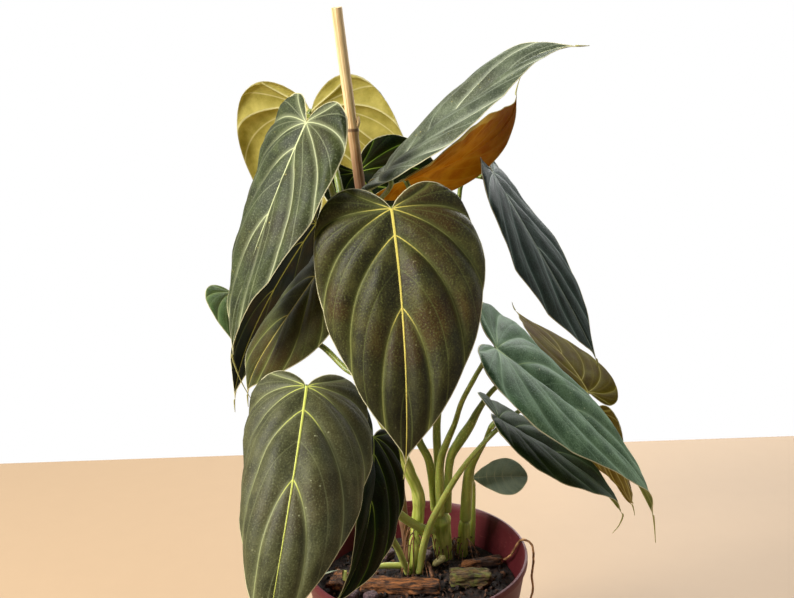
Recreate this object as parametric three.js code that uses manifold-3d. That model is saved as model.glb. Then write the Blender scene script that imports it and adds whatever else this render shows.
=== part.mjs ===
// A black gold philodendron in a nursery pot, climbing a bamboo cane.
// Millimetres, +Z up. The origin is the centre of the pot's foot, and the plant's front faces -Y.

import * as THREE from 'three';
import { mergeVertices } from 'three/addons/utils/BufferGeometryUtils.js';
import Module from 'manifold-3d';

const wasm = await Module();
wasm.setup();

// Driving dimensions

const GAP = 0.3;
const POT = { height: 105, rimRadius: 60, footRadius: 42, wall: 1.5, floor: 2.2, lip: 1, lipHeight: 4 };
const DRAIN = { count: 6, radius: 4, circle: 30 };
const SOIL = { edge: 84, shoulder: 86.5, shoulderShare: 0.6, mound: 87 };
const CHUNK = { roughness: 0.08, flatFrom: 0.6 };
const CANE = { radius: 2.6, foot: [3, 29, 12], top: [-28.4, 4, 389], joints: [100, 212, 321], swell: 0.5 };
const BLADE_THICKNESS = 0.9;
const BLADE_GRID = { adult: { rows: 12, columns: 4 }, young: { rows: 6, columns: 2 } };
const PETIOLE = { sides: 6, tipRadius: 1.2, socket: 5 };

// Colours, roughness

const FINISH = {
  pot: material(0x7d4a44, 0.55),
  soil: material(0x2b2019, 0.95),
  cane: material(0xc9a86a, 0.6),
  tie: material(0x1f5c55, 0.7),
  stem: material(0x8f9c3a, 0.5),
  petiole: material(0x7f8f45, 0.5),
  leaf: material(0x3d4a33, 0.75),
  youngLeaf: material(0x5d7469, 0.7),
  root: material(0x9a7b50, 0.85),
  brownRoot: material(0x5a3a28, 0.85),
  bark: material(0x8a5a30, 0.9),
  mossyLog: material(0x66682f, 0.9),
  pebble: material(0x54424a, 0.8),
};

function material(color, roughness) {
  return new THREE.MeshStandardMaterial({ color, roughness, metalness: 0 });
}

const plant = new THREE.Group();

function add(name, geometry, finish) {
  const mesh = new THREE.Mesh(geometry, finish);
  mesh.name = name;
  plant.add(mesh);
  return mesh;
}

const vector = ([x, y, z]) => new THREE.Vector3(x, y, z);
const radians = THREE.MathUtils.degToRad;

// Solids: joining, cutting and turning surfaces into closed bodies

function weld(geometry) {
  const bare = geometry.clone();
  bare.deleteAttribute('normal');
  bare.deleteAttribute('uv');
  return mergeVertices(bare, 1e-3);
}

function toSolid(geometry) {
  const welded = weld(geometry);
  const vertProperties = new Float32Array(welded.attributes.position.array);
  const triVerts = new Uint32Array(welded.index.array);
  return new wasm.Manifold(new wasm.Mesh({ numProp: 3, vertProperties, triVerts }));
}

function toGeometry(solid) {
  const { vertProperties, triVerts } = solid.getMesh();
  const geometry = new THREE.BufferGeometry();
  geometry.setAttribute('position', new THREE.BufferAttribute(vertProperties, 3));
  geometry.setIndex(new THREE.BufferAttribute(triVerts, 1));
  return geometry;
}

function cut(geometry, ...tools) {
  return toGeometry(tools.reduce((solid, tool) => solid.subtract(toSolid(tool)), toSolid(geometry)));
}

// Corners that weld into one leave triangles with no area, which are dropped.
function withoutSlivers(geometry) {
  const index = geometry.index.array;
  const kept = [];
  for (let i = 0; i < index.length; i += 3) {
    const [a, b, c] = index.slice(i, i + 3);
    if (a !== b && b !== c && c !== a) kept.push(a, b, c);
  }
  geometry.setIndex(kept);
  return geometry;
}

// Gives a surface the same thickness everywhere, half of it on each side, and closes its edge.
function thicken(surface, thickness) {
  const sheet = withoutSlivers(weld(surface));
  sheet.computeVertexNormals();
  const { position, normal } = sheet.attributes;
  const count = position.count;
  const points = [];
  for (const side of [0.5, -0.5]) {
    for (let i = 0; i < count; i++) {
      const point = new THREE.Vector3().fromBufferAttribute(position, i);
      const out = new THREE.Vector3().fromBufferAttribute(normal, i);
      points.push(point.addScaledVector(out, side * thickness));
    }
  }
  const index = [];
  const edges = new Map();
  const triangles = sheet.index.array;
  for (let i = 0; i < triangles.length; i += 3) {
    const corners = [triangles[i], triangles[i + 1], triangles[i + 2]];
    const [a, b, c] = corners;
    index.push(a, b, c, a + count, c + count, b + count);
    corners.forEach((from, k) => edges.set(`${from},${corners[(k + 1) % 3]}`, [from, corners[(k + 1) % 3]]));
  }
  for (const [from, to] of edges.values()) {
    if (edges.has(`${to},${from}`)) continue;
    index.push(from, from + count, to, to, from + count, to + count);
  }
  return new THREE.BufferGeometry().setFromPoints(points).setIndex(index);
}

// A round bar along a smooth curve through the points, with a radius for each point.
function taperedBar(points, radii, sides = PETIOLE.sides, stepsPerSpan = 3) {
  const curve = new THREE.CatmullRomCurve3(points, false, 'centripetal');
  const steps = (points.length - 1) * stepsPerSpan;
  const { normals, binormals } = curve.computeFrenetFrames(steps, false);
  const corners = [];
  for (let i = 0; i <= steps; i++) {
    const centre = curve.getPointAt(i / steps);
    const place = (i / steps) * (radii.length - 1);
    const before = Math.min(Math.floor(place), radii.length - 2);
    const radius = THREE.MathUtils.lerp(radii[before], radii[before + 1], place - before);
    for (let k = 0; k < sides; k++) {
      const turn = (2 * Math.PI * k) / sides;
      const corner = centre.clone().addScaledVector(normals[i], radius * Math.cos(turn));
      corners.push(corner.addScaledVector(binormals[i], radius * Math.sin(turn)));
    }
  }
  const index = [];
  for (let i = 0; i < steps; i++) {
    for (let k = 0; k < sides; k++) {
      const a = i * sides + k;
      const b = i * sides + ((k + 1) % sides);
      index.push(a, b, a + sides, b, b + sides, a + sides);
    }
  }
  const last = steps * sides;
  for (let k = 1; k < sides - 1; k++) {
    index.push(0, k + 1, k, last, last + k, last + k + 1);
  }
  return new THREE.BufferGeometry().setFromPoints(corners).setIndex(index);
}

function turned(profile, segments) {
  const points = profile.map(([r, z]) => new THREE.Vector2(r, z));
  return new THREE.LatheGeometry(points, segments).rotateX(Math.PI / 2);
}

// Pot: a thin tapered wall with a small lip, and drain holes in its floor

const potSlope = (POT.rimRadius - POT.lip - POT.footRadius) / (POT.height - POT.lipHeight);
const potInside = (z) => POT.footRadius + potSlope * z - POT.wall;

function pot() {
  const lipFoot = POT.height - POT.lipHeight;
  const body = turned([
    [0, 0],
    [POT.footRadius, 0],
    [POT.footRadius + potSlope * lipFoot, lipFoot],
    [POT.rimRadius, lipFoot + 1],
    [POT.rimRadius, POT.height],
    [potInside(POT.height), POT.height],
    [potInside(POT.floor), POT.floor],
    [0, POT.floor],
  ], 48);
  const holes = [];
  for (let k = 0; k < DRAIN.count; k++) {
    const turn = (2 * Math.PI * k) / DRAIN.count;
    const hole = new THREE.CylinderGeometry(DRAIN.radius, DRAIN.radius, 4 * POT.floor, 12);
    hole.rotateX(Math.PI / 2);
    holes.push(hole.translate(DRAIN.circle * Math.cos(turn), DRAIN.circle * Math.sin(turn), 0));
  }
  return cut(body, ...holes);
}

// Stems: the one that climbs the cane, and two shorter ones that only carry petioles

const STEMS = {
  stem_climbing: {
    points: [[-2, 12, 76], [0, 12, 98], [2, 12, 118], [3, 11, 132], [-2, 8, 150], [-9, 6, 168],
      [-16, 6, 184], [-20, 6, 205], [-22, 6, 230], [-24, 4, 257]],
    radii: [3.6, 3.4, 3.2, 3, 2.6, 2.4],
  },
  stem_middle: {
    points: [[18, 27, 74], [16, 27, 90], [15, 23, 105], [15, 20, 118]],
    radii: [4.6, 5, 5.4, 5.8],
  },
  stem_right: {
    points: [[28, 32, 74], [27, 31, 86], [28, 29, 98], [29, 27, 110]],
    radii: [3, 3.4, 3.4, 3.2],
  },
};

function stem({ points, radii }, extra = 0) {
  return taperedBar(points.map(vector), radii.map((radius) => radius + extra), 10);
}

// Cane: a bamboo rod with swollen joints, standing in the soil beside the climbing stem

function cane(extra = 0) {
  const foot = vector(CANE.foot);
  const along = vector(CANE.top).sub(foot);
  const radius = CANE.radius + extra;
  const profile = [[0, 0], [radius, 0]];
  for (const height of CANE.joints) {
    profile.push([radius, height - 2], [radius + CANE.swell, height], [radius, height + 2]);
  }
  profile.push([radius, along.length()], [0, along.length()]);
  const rod = turned(profile, 12);
  const lean = new THREE.Quaternion().setFromUnitVectors(new THREE.Vector3(0, 0, 1), along.normalize());
  return rod.applyQuaternion(lean).translate(foot.x, foot.y, foot.z);
}

// Soil: fills the pot to below the rim, with the cane and the stems standing in it

function soil() {
  const floor = POT.floor + GAP;
  const mound = turned([
    [0, floor],
    [potInside(floor) - GAP, floor],
    [potInside(SOIL.edge) - GAP, SOIL.edge],
    [potInside(SOIL.edge) * SOIL.shoulderShare, SOIL.shoulder],
    [0, SOIL.mound],
  ], 36);
  return cut(mound, cane(GAP), ...Object.values(STEMS).map((shape) => stem(shape, GAP)));
}

// Things lying on the soil: bark chips, a mossy bit of wood and pebbles, each a rough lump

const CHUNKS = {
  bark_front: { size: [42, 9, 6], at: [-8, -8], turn: -6, finish: FINISH.bark },
  bark_strip: { size: [23, 5, 3.6], at: [37, 16], turn: 12, finish: FINISH.bark },
  bark_left: { size: [15, 8, 5], at: [-42, 2], turn: 70, finish: FINISH.bark },
  mossy_log: { size: [22, 9, 8], at: [30, -3], turn: -3, finish: FINISH.mossyLog },
  pebble_front: { size: [8, 7, 6], at: [-24, -18], turn: 20, finish: FINISH.pebble },
  pebble_left: { size: [7, 6, 5.5], at: [-34, -14], turn: 70, finish: FINISH.pebble },
  pebble_middle: { size: [7.5, 7, 6], at: [6, 22], turn: -30, finish: FINISH.pebble },
  pebble_back: { size: [7, 6, 5.5], at: [-15, 27], turn: 40, finish: FINISH.pebble },
};

function soilTop(radius) {
  const edge = potInside(SOIL.edge);
  const shoulder = SOIL.shoulderShare * edge;
  const { mapLinear } = THREE.MathUtils;
  if (radius < shoulder) return mapLinear(radius, 0, shoulder, SOIL.mound, SOIL.shoulder);
  return mapLinear(radius, shoulder, edge, SOIL.shoulder, SOIL.edge);
}

// A lump's underside is cut off flat, so that it lies on the soil.
function chunk({ size, at, turn }) {
  const [length, width, height] = size;
  const lump = new THREE.IcosahedronGeometry(1, 1);
  const { position } = lump.attributes;
  for (let i = 0; i < position.count; i++) {
    const [x, y, z] = [position.getX(i), position.getY(i), Math.max(position.getZ(i), -CHUNK.flatFrom)];
    const bump = 1 + CHUNK.roughness * Math.sin(5 * x + length) * Math.cos(4 * y + width);
    position.setXYZ(i, (x * bump * length) / 2, (y * bump * width) / 2, (z * height) / 2);
  }
  const [x, y] = at;
  const nearestToMiddle = Math.max(Math.hypot(x, y) - length / 2, 0);
  const rest = soilTop(nearestToMiddle) + GAP + (CHUNK.flatFrom * height) / 2;
  return lump.rotateZ(radians(turn)).translate(x, y, rest);
}

// Roots: a pale stub and a brown root by the stems, and an aerial root that hangs over the rim

const ROOTS = {
  root_stub: {
    points: [[9.5, 12.5, 89.2], [12.5, 13.5, 91], [16.5, 15, 93]],
    radii: [1.6, 2.2],
    finish: FINISH.root,
  },
  brown_root: {
    points: [[9, 1, 88.5], [8, 4.5, 92], [6.5, 8.5, 94]],
    radii: [1.2, 0.9],
    finish: FINISH.brownRoot,
  },
  aerial_root: {
    points: [[49.5, 17, 88.5], [52.5, 12, 94], [58.3, 5, 107.5], [62.6, 2, 106.5], [63.6, 0, 98],
      [62.4, -2, 89], [63, -3, 82], [61.4, -4, 76]],
    radii: [0.7, 0.6],
    finish: FINISH.brownRoot,
  },
};

// Tie: one turn of thin wire round the cane and the climbing stem, with its ends left loose

const TIE = {
  height: 196,
  rise: 3,
  radius: 0.6,
  reach: 4.2,
  steps: 14,
  stem: [-19, 6],
  cane: [-12.3, 16.8],
  looseStart: [[-21, -9, 188], [-23.5, -3, 194]],
  looseEnd: [-26, -2, 202],
};

function tie() {
  const stemCentre = new THREE.Vector2(...TIE.stem);
  const caneCentre = new THREE.Vector2(...TIE.cane);
  const axis = caneCentre.clone().sub(stemCentre).angle();
  const points = TIE.looseStart.map(vector);
  for (let k = 0; k <= TIE.steps; k++) {
    const turn = axis + Math.PI * (1.05 - (2 * k) / TIE.steps);
    const centre = Math.cos(turn - axis) > 0 ? caneCentre : stemCentre;
    const height = TIE.height + (TIE.rise * k) / TIE.steps;
    const out = new THREE.Vector2(TIE.reach, 0).rotateAround(new THREE.Vector2(), turn).add(centre);
    points.push(new THREE.Vector3(out.x, out.y, height));
  }
  points.push(vector(TIE.looseEnd));
  return taperedBar(points, [TIE.radius, TIE.radius], PETIOLE.sides, 2);
}

// Leaf blades

// Half of a blade's outline, from the notch round the basal lobe to the drip tip. The first number
// is a share of the blade's length along the midrib, and the second a share of half its width.
const HEART = halfOutline([[0, 0], [-0.045, 0.09], [-0.095, 0.29], [-0.105, 0.52], [-0.055, 0.78],
  [0.06, 0.95], [0.22, 1], [0.42, 0.9], [0.62, 0.655], [0.79, 0.36], [0.895, 0.13], [0.945, 0.035], [1, 0]]);
const OVAL = halfOutline([[0, 0], [0.03, 0.12], [0.08, 0.26], [0.15, 0.42], [0.24, 0.6], [0.35, 0.78],
  [0.48, 0.94], [0.62, 1], [0.75, 0.92], [0.86, 0.7], [0.94, 0.42], [0.985, 0.18], [1, 0]]);

function halfOutline(points) {
  return new THREE.SplineCurve(points.map(([along, out]) => new THREE.Vector2(along, out)));
}

// A leaf's place is where its petiole meets the midrib. Heading, rise and roll turn it there, in
// degrees: heading 0 is +X and 90 is +Y, rise is above the horizontal, and roll tips its upper face.
// Droop and tip bend the midrib down over its length and near its end, fold lifts both halves from
// the midrib, arch curves each half down again, twist turns the blade's end and sweep bends it aside.
const LEAVES = {
  upper_left: { at: [-42, -45, 343], heading: -150, rise: -59, roll: -4, length: 112, width: 68,
    droop: 17, tip: 17, fold: 7, arch: 31, twist: 11, sweep: -0.09 },
  back_left: { at: [-49, 92, 331], heading: 57, rise: -68, roll: -9, length: 173, width: 112,
    droop: 8, tip: 10, fold: 17, arch: 38, twist: 9, sweep: 0 },
  front_centre: { at: [-6, -75, 310], heading: -80, rise: -56, roll: 6, length: 111, width: 76,
    droop: 31, tip: 16, fold: 0, arch: 39, twist: 21, sweep: -0.06 },
  top_right: { at: [-9, -28, 316], heading: -5, rise: 39, roll: -1, length: 105, width: 67,
    droop: -2, tip: 48, fold: 10, arch: 27, twist: 29, sweep: -0.01 },
  cupped_right: { at: [1, 4, 307], heading: 33, rise: 7, roll: -29, length: 93, width: 60,
    droop: -22, tip: -42, fold: -9, arch: -13, twist: -51, sweep: 0.02 },
  hanging_right: { at: [48, 46, 301], heading: -5, rise: -60, roll: 3, length: 122, width: 81,
    droop: 3, tip: 6, fold: -1, arch: 8, twist: 28, sweep: 0.05 },
  low_right: { at: [39, -60, 241], heading: 6, rise: -41, roll: 15, length: 123, width: 81,
    droop: 9, tip: 31, fold: 15, arch: 35, twist: -7, sweep: -0.02 },
  lowest_right: { at: [41, -44, 200], heading: 12, rise: -36, roll: 6, length: 92, width: 56,
    droop: 6, tip: 27, fold: 20, arch: 51, twist: 10, sweep: 0.02 },
  back_right: { at: [97, 30, 182], heading: 110, rise: 31, roll: 23, length: 80, width: 49,
    droop: 31, tip: -19, fold: 0, arch: -14, twist: 8, sweep: 0.01 },
  back_right_low: { at: [94, 0, 183], heading: 60, rise: -64, roll: 18, length: 98, width: 58,
    droop: -21, tip: 3, fold: 6, arch: 51, twist: 20, sweep: 0 },
  low_left: { at: [-45, -85, 236], heading: -95, rise: -30, roll: -5, length: 114, width: 75,
    droop: 48, tip: 28, fold: -7, arch: 66, twist: 19, sweep: -0.08 },
  low_centre: { at: [-18, -55, 198], heading: -88, rise: -35, roll: -68, length: 86, width: 58,
    droop: 20, tip: 30, fold: 11, arch: 9, twist: -6, sweep: -0.06 },
  mid_left: { at: [-37, -44, 280], heading: 169, rise: -54, roll: -27, length: 86, width: 57,
    droop: 3, tip: 30, fold: 10, arch: 61, twist: -16, sweep: -0.08 },
  inner_left: { at: [-46, 37, 279], heading: -170, rise: -51, roll: -15, length: 110, width: 60,
    droop: 18, tip: 18, fold: 7, arch: 33, twist: -13, sweep: 0.02 },
  far_left: { at: [-100, 84, 229], heading: -55, rise: -33, roll: -10, length: 63, width: 41,
    droop: 32, tip: 19, fold: 8, arch: 17, twist: -13, sweep: -0.02 },
  behind_cane: { at: [-24, 60, 301], heading: -39, rise: -45, roll: 21, length: 94, width: 74,
    droop: 12, tip: 10, fold: 23, arch: -2, twist: -4, sweep: 0 },
  young_right: { at: [33, 24, 136], heading: 0, rise: 2, roll: 42, length: 31, width: 22,
    droop: 10, tip: 10, fold: 8, arch: 20, twist: 0, sweep: 0, young: true },
  young_left: { at: [-38, -5, 99], heading: 200, rise: 10, roll: 30, length: 16, width: 9,
    droop: 20, tip: 10, fold: 10, arch: 20, twist: 0, sweep: 0, young: true },
};

// How far along the midrib a vein starts. A heart's basal veins all start at the notch.
function veinStart(outline, t) {
  if (outline === OVAL) return Math.pow(t, 1.6);
  const lastBasal = 7 / 12;
  return Math.pow(THREE.MathUtils.clamp((t - lastBasal) / (1 - lastBasal), 0, 1), 1.15);
}

// A point of the flat blade: t runs round the outline, and b from the midrib to the margin.
function flatPoint(outline, t, b) {
  const edge = outline.getPoint(t);
  const start = new THREE.Vector2(veinStart(outline, t), 0);
  const lobePull = 0.12 * Math.pow(Math.max(edge.y, 0), 1.5) * Math.pow(1 - start.x, 8);
  const bow = new THREE.Vector2(THREE.MathUtils.lerp(start.x, edge.x, 0.25) - lobePull, 0.95 * edge.y);
  return new THREE.QuadraticBezierCurve(start, bow, edge).getPoint(b);
}

function midribSlope(leaf, u) {
  return -radians(leaf.droop * u + leaf.tip * Math.pow(Math.max(u, 0), 5));
}

// Where the bent midrib is at share u of its length.
function midribPoint(leaf, u) {
  const steps = 24;
  const step = (u * leaf.length) / steps;
  const point = new THREE.Vector2();
  for (let i = 0; i < steps; i++) {
    const slope = midribSlope(leaf, (u * (i + 0.5)) / steps);
    point.x += step * Math.cos(slope);
    point.y += step * Math.sin(slope);
  }
  return point;
}

// A point of the shaped blade, with x along the midrib, y to its left and z out of the upper face.
function bladePoint(leaf, outline, t, b, side) {
  const flat = flatPoint(outline, t, b);
  const u = flat.x;
  const fold = radians(leaf.fold);
  const bendRate = (2 * radians(leaf.arch || 1)) / leaf.width;
  const bent = fold - (bendRate * flat.y * leaf.width) / 2;
  const across = (-side * (Math.sin(fold) - Math.sin(bent))) / bendRate;
  const lift = (Math.cos(bent) - Math.cos(fold)) / bendRate;
  const twist = radians(leaf.twist) * u;
  const y = across * Math.cos(twist) - lift * Math.sin(twist) + leaf.sweep * leaf.length * u * u;
  const z = across * Math.sin(twist) + lift * Math.cos(twist);
  const midrib = midribPoint(leaf, u);
  const slope = midribSlope(leaf, u);
  return new THREE.Vector3(midrib.x - z * Math.sin(slope), y, midrib.y + z * Math.cos(slope));
}

function blade(leaf) {
  const outline = leaf.young ? OVAL : HEART;
  const { rows, columns } = leaf.young ? BLADE_GRID.young : BLADE_GRID.adult;
  const points = [];
  const index = [];
  for (const side of [1, -1]) {
    const first = points.length;
    for (let i = 0; i <= rows; i++) {
      for (let j = 0; j <= columns; j++) {
        points.push(bladePoint(leaf, outline, i / rows, j / columns, side));
      }
    }
    for (let i = 0; i < rows; i++) {
      for (let j = 0; j < columns; j++) {
        const a = first + i * (columns + 1) + j;
        const b = a + columns + 1;
        if (side > 0) index.push(a, a + 1, b, b, a + 1, b + 1);
        else index.push(a, b, a + 1, b, b + 1, a + 1);
      }
    }
  }
  return thicken(new THREE.BufferGeometry().setFromPoints(points).setIndex(index), BLADE_THICKNESS);
}

// Petioles: each runs through its points to a short socket that meets the blade from below.
// The base radius is where it leaves its stem, and some have a sheath that stays thick for a while.
const PETIOLES = {
  upper_left: { from: [[-28, -1, 261], [-31, -8, 290], [-36, -24, 320]], radii: [1.8, 1.4] },
  back_left: { from: [[-24.5, 2.5, 261], [-29, 4, 290], [-35, 20, 318], [-43, 62, 329]],
    radii: [2, 1.4] },
  front_centre: { from: [[-18, 1, 212], [-13, -24, 248], [-8, -52, 287]], radii: [2.2, 1.6] },
  top_right: { from: [[-21.5, -2, 261], [-18, -6, 290]], radii: [1.8, 1.4] },
  cupped_right: { from: [[11.5, 20, 122], [9, 14, 152], [4, 12, 165], [-1, 10, 190], [-3, 8, 228],
    [2, 3, 270]], radii: [2.2, 1.9, 1.6] },
  hanging_right: { from: [[15.5, 23.8, 121], [14, 18, 152], [14, 17, 173], [17, 18, 196], [21, 20, 235],
    [25, 28, 262], [29, 42, 283], [32, 52, 295], [38, 51, 298.5]], radii: [2.3, 2, 1.6, 1.3] },
  low_right: { from: [[14.5, 15.6, 121], [15, 6, 155], [18, 0, 168], [22, -8, 182], [25, -19, 198],
    [29, -32, 213], [34, -46, 229]], radii: [2.4, 1.9, 1.4, 1.3] },
  lowest_right: { from: [[29, 25, 113], [31, 14, 146], [35, 6, 159], [38, -3, 170], [40, -16, 184],
    [41, -30, 192]], radii: [3.2, 2.8, 1.6, 1.3, 1.2] },
  back_right: { from: [[18.8, 20, 121], [21, 17, 152], [26, 14, 163], [31, 12, 172], [37, 10, 184],
    [44, 9, 194], [58, 12, 202], [76, 20, 190]], radii: [2.2, 2.8, 1.4, 1.2] },
  back_right_low: { from: [[2.5, 7, 91], [5, 3, 108], [9, -1, 123], [15, -4, 137], [24, -10, 156],
    [33, -14, 170], [43, -14, 181], [58, -4, 188], [78, 6, 189]], radii: [2, 1.7, 1.3, 1.2] },
  low_left: { from: [[9.5, 17, 109], [5, 5, 116], [-6, -3, 128], [-17, -22, 154], [-30, -46, 191],
    [-38, -62, 214]], radii: [2.4, 1.8, 1.5] },
  low_centre: { from: [[-5, 7.5, 90], [-9, 0, 107], [-12, -8, 119], [-15, -24, 151], [-17, -40, 181]],
    radii: [1.8, 1.5] },
  mid_left: { from: [[-22, 0, 228], [-26, -12, 250]], radii: [2, 1.5] },
  inner_left: { from: [[-29.5, 6, 260], [-37, 20, 266]], radii: [1.8, 1.4] },
  far_left: { from: [[-22.5, 9.8, 203], [-31.4, 16, 204], [-45.9, 32, 212.5], [-62, 60, 208],
    [-78, 82, 206], [-92, 93, 211]], radii: [1.6, 1.2] },
  behind_cane: { from: [[-24.5, 8.5, 261], [-24.5, 15, 263], [-24, 24, 265], [-24, 40, 274],
    [-26, 51, 287]], radii: [1.8, 1.4] },
  young_right: { from: [[33, 34, 92], [34, 34, 112], [34, 31, 128]], radii: [1.6, 1.2] },
  young_left: { from: [[-6.8, 13.2, 89.5], [-21, 7, 93]], radii: [1.8, 1.2] },
};

function socketPoints(leaf) {
  const turn = leafTurn(leaf);
  return [PETIOLE.socket, BLADE_THICKNESS / 2 + 2 * GAP]
    .map((depth) => new THREE.Vector3(0, 0, -depth).applyEuler(turn).add(vector(leaf.at)));
}

function leafTurn(leaf) {
  return new THREE.Euler(radians(leaf.roll), -radians(leaf.rise), radians(leaf.heading), 'ZYX');
}

for (const [name, leaf] of Object.entries(LEAVES)) {
  const mesh = add(`leaf_${name}`, blade(leaf), leaf.young ? FINISH.youngLeaf : FINISH.leaf);
  mesh.position.copy(vector(leaf.at));
  mesh.rotation.copy(leafTurn(leaf));
}

for (const [name, { from, radii }] of Object.entries(PETIOLES)) {
  const route = [...from.map(vector), ...socketPoints(LEAVES[name])];
  add(`petiole_${name}`, taperedBar(route, [...radii, PETIOLE.tipRadius]), FINISH.petiole);
}

add('pot', pot(), FINISH.pot);
add('soil', soil(), FINISH.soil);
add('bamboo_cane', cane(), FINISH.cane);
for (const [name, shape] of Object.entries(STEMS)) add(name, stem(shape), FINISH.stem);
for (const [name, shape] of Object.entries(CHUNKS)) add(name, chunk(shape), shape.finish);
for (const [name, { points, radii, finish }] of Object.entries(ROOTS)) {
  add(name, taperedBar(points.map(vector), radii), finish);
}
add('plant_tie', tie(), FINISH.tie);

export default plant;
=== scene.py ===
# Looks of a potted black gold philodendron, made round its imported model.
# The model's own numbers are repeated in millimetres and degrees, and meshes are made in metres.

import math

import bmesh
import bpy
import numpy as np
from mathutils import Euler, Matrix, Vector, noise


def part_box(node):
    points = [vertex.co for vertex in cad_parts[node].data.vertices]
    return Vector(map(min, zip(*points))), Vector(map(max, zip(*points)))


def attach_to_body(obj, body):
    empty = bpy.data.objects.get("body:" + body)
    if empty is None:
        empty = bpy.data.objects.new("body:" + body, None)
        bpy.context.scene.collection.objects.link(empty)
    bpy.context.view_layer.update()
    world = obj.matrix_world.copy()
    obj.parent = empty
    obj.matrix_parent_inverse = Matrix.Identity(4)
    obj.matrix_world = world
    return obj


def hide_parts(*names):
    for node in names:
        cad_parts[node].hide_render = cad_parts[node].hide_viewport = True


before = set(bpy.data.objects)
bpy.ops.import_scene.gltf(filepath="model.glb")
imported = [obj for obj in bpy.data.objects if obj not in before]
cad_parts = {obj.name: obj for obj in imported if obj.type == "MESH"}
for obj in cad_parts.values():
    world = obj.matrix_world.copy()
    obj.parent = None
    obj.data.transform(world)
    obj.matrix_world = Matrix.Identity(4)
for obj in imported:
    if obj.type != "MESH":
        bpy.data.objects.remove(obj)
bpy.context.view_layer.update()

MM = 0.001
random = np.random.default_rng(11)


def add_object(name, data):
    made = bpy.data.objects.new(name, data)
    bpy.context.collection.objects.link(made)
    return made


# Camera, at the photograph's viewing angle

CAMERA = {"focal_px": 1100, "picture_px": 794, "pitch": 17, "roll": 2, "place": (-5, -525, 408)}


def make_camera():
    pitch, roll = math.radians(CAMERA["pitch"]), math.radians(CAMERA["roll"])
    right = Vector((1, 0, 0))
    up = Vector((0, math.sin(pitch), math.cos(pitch)))
    back = Vector((0, -math.cos(pitch), math.sin(pitch)))
    turned_right = math.cos(roll) * right - math.sin(roll) * up
    turned_up = math.sin(roll) * right + math.cos(roll) * up
    data = bpy.data.cameras.new("camera")
    data.sensor_width = 36
    data.lens = data.sensor_width * CAMERA["focal_px"] / CAMERA["picture_px"]
    data.clip_start = 0.01
    camera = add_object("camera", data)
    turn = Matrix((turned_right, turned_up, back)).transposed()
    camera.matrix_world = Matrix.Translation(Vector(CAMERA["place"]) * MM) @ turn.to_4x4()
    bpy.context.scene.camera = camera


# Shader helpers. A colour is a screen colour such as 0x3f5a2b, or three linear values.

def linear(code):
    return tuple(((code >> shift & 255) / 255) ** 2.2 for shift in (16, 8, 0))


class Nodes:
    """Short calls that build a node tree. A socket takes a number, a colour or another node's output."""

    def __init__(self, owner):
        owner.use_nodes = True
        self.tree = owner.node_tree
        self.tree.nodes.clear()

    def put(self, node, socket, value):
        target = node.inputs[socket]
        if isinstance(value, bpy.types.NodeSocket):
            self.tree.links.new(value, target)
        elif target.type == "RGBA":
            target.default_value = (*(linear(value) if isinstance(value, int) else value), 1)
        else:
            target.default_value = value

    def node(self, kind, settings=(), numbered=(), **named):
        """Sockets are given by their numbers, or by their names with _ for each space."""
        made = self.tree.nodes.new(f"ShaderNode{kind}")
        for name, value in dict(settings).items():
            setattr(made, name, value)
        for socket, value in dict(numbered).items():
            self.put(made, socket, value)
        for socket, value in named.items():
            self.put(made, socket.replace("_", " "), value)
        return made

    def spread(self, value, low, high, start=0, end=1):
        """Turns low to high into start to end, with soft ends."""
        made = self.node("MapRange", {"interpolation_type": "SMOOTHSTEP"}, Value=value,
                         From_Min=low, From_Max=high, To_Min=start, To_Max=end)
        return made.outputs["Result"]

    def math(self, operation, first, second=0):
        return self.node("Math", {"operation": operation}, {0: first, 1: second}).outputs[0]


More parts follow.
